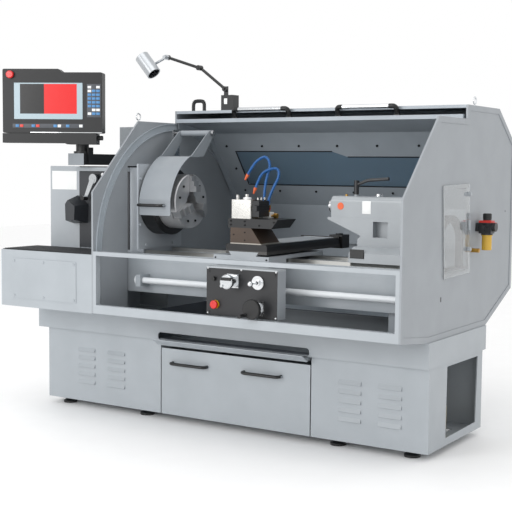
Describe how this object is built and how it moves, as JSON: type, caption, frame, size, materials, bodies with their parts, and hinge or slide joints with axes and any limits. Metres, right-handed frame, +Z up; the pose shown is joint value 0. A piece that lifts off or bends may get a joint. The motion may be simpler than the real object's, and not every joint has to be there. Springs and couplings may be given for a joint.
{
  "type": "cnc turning lathe",
  "caption": "Enclosed turning lathe on two pedestals with a pivoting guard, chuck, cross slide, tailstock, swivelling console, work light, coolant tank and chip tray.",
  "frame": {"origin": "on the floor under the middle of the machine's box", "axes": "+X along the spindle from the chuck to the tailstock, -Y towards the operator, +Z up"},
  "size_m": [2.423, 1.429, 1.9475],
  "materials": {
    "light_paint": "semi-gloss",
    "cast_paint": "semi-gloss",
    "inner_paint": "satin",
    "charcoal_paint": "satin",
    "black_paint": "satin",
    "steel": "ground",
    "dark_steel": "oiled",
    "chrome": "polished",
    "aluminium": "machined",
    "black_plastic": "moulded",
    "blue_plastic": "moulded",
    "red_plastic": "moulded",
    "rubber": "ribbed",
    "tinted_pane": "clear tinted",
    "screen_glass": "lit display",
    "cast_base": "machined"
  },
  "bodies": {
    "machine": {"levelling_feet": "black_paint", "pedestal_left": "light_paint", "pedestal_right": "light_paint", "lube_unit": "black_plastic", "chip_pan": "light_paint", "bed": "light_paint", "side_panel_left": "light_paint", "side_panel_right": "light_paint", "front_frame": "light_paint", "rear_cover": "light_paint", "hood_tracks": "inner_paint", "headstock_casting": "cast_paint", "headstock_end_cover": "light_paint", "headstock_front_panel": "charcoal_paint", "left_box": "light_paint", "box_mat": "rubber", "electrical_cabinet": "light_paint", "console_arm": "black_paint", "guard_bracket": "steel", "cable_chain": "black_plastic", "air_unit": "aluminium", "eye_bolts": "chrome", "conduit": "black_plastic", "lamp_base": "light_paint"},
    "hood": {"hood_shell": "inner_paint", "hood_window": "tinted_pane", "hood_handles": "chrome"},
    "chuck_guard": {"chuck_guard": "cast_paint"},
    "spindle": {"spindle": "black_paint", "chuck_body": "steel"},
    "jaw_1": {"chuck_jaw_1": "steel"},
    "jaw_2": {"chuck_jaw_2": "steel"},
    "jaw_3": {"chuck_jaw_3": "steel"},
    "carriage": {"saddle": "light_paint", "control_box": "charcoal_paint"},
    "cross_slide": {"cross_slide": "dark_steel", "tool_block": "cast_base", "tool_post": "steel", "coolant_manifold": "aluminium", "coolant_hoses": "blue_plastic"},
    "handwheel_z": {"handwheel_z": "aluminium"},
    "handwheel_x": {"handwheel_x": "black_plastic"},
    "joystick": {"joystick": "chrome"},
    "apron_stop": {"apron_stop": "red_plastic"},
    "tailstock": {"tailstock_body": "cast_paint"},
    "quill": {"quill": "steel"},
    "tailstock_wheel": {"tailstock_wheel": "chrome"},
    "quill_lever": {"quill_lever": "chrome"},
    "drive_screw": {"drive_screw": "steel"},
    "coolant_drawer": {"coolant_tank": "light_paint"},
    "chip_tray": {"chip_tray": "light_paint"},
    "side_door": {"side_door": "light_paint"},
    "regulator_knob": {"regulator_knob": "black_plastic"},
    "speed_lever": {"speed_lever": "aluminium"},
    "console": {"console_body": "charcoal_paint", "console_screen": "screen_glass"},
    "console_stop": {"console_stop": "red_plastic"},
    "lamp_lower": {"lamp_arm_lower": "black_paint"},
    "lamp_upper": {"lamp_arm_upper": "black_paint"},
    "lamp_head": {"lamp_head": "aluminium"}
  },
  "joints": [
    {"name": "hood_turn", "type": "hinge", "parent": "machine", "child": "hood", "pos_m": [0.27, 0.05, 0.89], "axis": [-1, 0, 0], "range_deg": [-90, 0]},
    {"name": "guard_turn", "type": "hinge", "parent": "machine", "child": "chuck_guard", "pos_m": [-0.366, -0.03, 1.495], "axis": [-1, 0, 0], "range_deg": [0, 60]},
    {"name": "spindle_turn", "type": "hinge", "parent": "machine", "child": "spindle", "pos_m": [-0.48, -0.2, 1.138], "axis": [1, 0, 0], "continuous": true},
    {"name": "jaw_1_slide", "type": "slide", "parent": "spindle", "child": "jaw_1", "axis": [0, 0, 1], "range_m": [-0.012, 0.008]},
    {"name": "jaw_2_slide", "type": "slide", "parent": "spindle", "child": "jaw_2", "axis": [0, -0.866, -0.5], "range_m": [-0.012, 0.008]},
    {"name": "jaw_3_slide", "type": "slide", "parent": "spindle", "child": "jaw_3", "axis": [0, 0.866, -0.5], "range_m": [-0.012, 0.008]},
    {"name": "carriage_slide", "type": "slide", "parent": "machine", "child": "carriage", "axis": [1, 0, 0], "range_m": [-0.35, 0.2]},
    {"name": "cross_feed", "type": "slide", "parent": "carriage", "child": "cross_slide", "axis": [0, -1, 0], "range_m": [-0.15, 0]},
    {"name": "handwheel_z_turn", "type": "hinge", "parent": "carriage", "child": "handwheel_z", "pos_m": [0.25, -0.6, 0.791], "axis": [0, 1, 0], "continuous": true},
    {"name": "handwheel_x_turn", "type": "hinge", "parent": "carriage", "child": "handwheel_x", "pos_m": [0.387, -0.6, 0.673], "axis": [0, 1, 0], "continuous": true},
    {"name": "joystick_tilt", "type": "hinge", "parent": "carriage", "child": "joystick", "pos_m": [0.385, -0.59, 0.79], "axis": [1, 0, 0], "range_deg": [-8, 8], "stiffness_Nm_per_rad": 0.5},
    {"name": "apron_stop_press", "type": "slide", "parent": "carriage", "child": "apron_stop", "axis": [0, 1, 0], "range_m": [0, 0.005], "stiffness_N_per_m": 400},
    {"name": "tailstock_slide", "type": "slide", "parent": "machine", "child": "tailstock", "axis": [1, 0, 0], "range_m": [-0.15, 0.02]},
    {"name": "quill_slide", "type": "slide", "parent": "tailstock", "child": "quill", "axis": [1, 0, 0], "range_m": [-0.08, 0]},
    {"name": "tailstock_wheel_turn", "type": "hinge", "parent": "tailstock", "child": "tailstock_wheel", "pos_m": [1.012, -0.2, 1.138], "axis": [1, 0, 0], "continuous": true},
    {"name": "quill_lever_turn", "type": "hinge", "parent": "tailstock", "child": "quill_lever", "pos_m": [0.691, -0.22, 1.195], "axis": [0, 0, 1], "range_deg": [-30, 30]},
    {"name": "drive_screw_turn", "type": "hinge", "parent": "machine", "child": "drive_screw", "pos_m": [0.3, -0.4, 0.735], "axis": [1, 0, 0], "continuous": true},
    {"name": "coolant_tank_slide", "type": "slide", "parent": "machine", "child": "coolant_drawer", "axis": [0, -1, 0], "range_m": [0, 0.45]},
    {"name": "chip_tray_slide", "type": "slide", "parent": "machine", "child": "chip_tray", "axis": [0, -1, 0], "range_m": [0, 0.4]},
    {"name": "side_door_turn", "type": "hinge", "parent": "machine", "child": "side_door", "pos_m": [1.125, 0.1235, 1.038], "axis": [0, -0.067, 0.9978], "range_deg": [0, 95]},
    {"name": "regulator_turn", "type": "hinge", "parent": "machine", "child": "regulator_knob", "pos_m": [1.165, 0.237, 1.08], "axis": [0, 0, 1], "range_deg": [-150, 150]},
    {"name": "speed_lever_turn", "type": "hinge", "parent": "machine", "child": "speed_lever", "pos_m": [-0.798, -0.353, 1.249], "axis": [0, -1, 0], "range_deg": [0, 45]},
    {"name": "console_swivel", "type": "hinge", "parent": "machine", "child": "console", "pos_m": [-0.8575, -0.378, 1.394], "axis": [0, 0, 1], "range_deg": [-40, 40]},
    {"name": "console_stop_press", "type": "slide", "parent": "console", "child": "console_stop", "axis": [-0.4571, 0.8894, 0], "range_m": [0, 0.005], "stiffness_N_per_m": 400},
    {"name": "lamp_shoulder", "type": "hinge", "parent": "machine", "child": "lamp_lower", "pos_m": [-0.272, 0.1, 1.735], "axis": [0, 1, 0], "range_deg": [-10, 40]},
    {"name": "lamp_elbow", "type": "hinge", "parent": "lamp_lower", "child": "lamp_upper", "pos_m": [-0.433, 0.084, 1.852], "axis": [0, 1, 0], "range_deg": [-10, 30]},
    {"name": "lamp_wrist", "type": "hinge", "parent": "lamp_upper", "child": "lamp_head", "pos_m": [-0.64, 0.067, 1.916], "axis": [0, 1, 0], "range_deg": [-30, 30]}
  ],
  "couplings": [
    {"joint": "jaw_2_slide", "follows": "jaw_1_slide", "ratio": 1},
    {"joint": "jaw_3_slide", "follows": "jaw_1_slide", "ratio": 1}
  ]
}
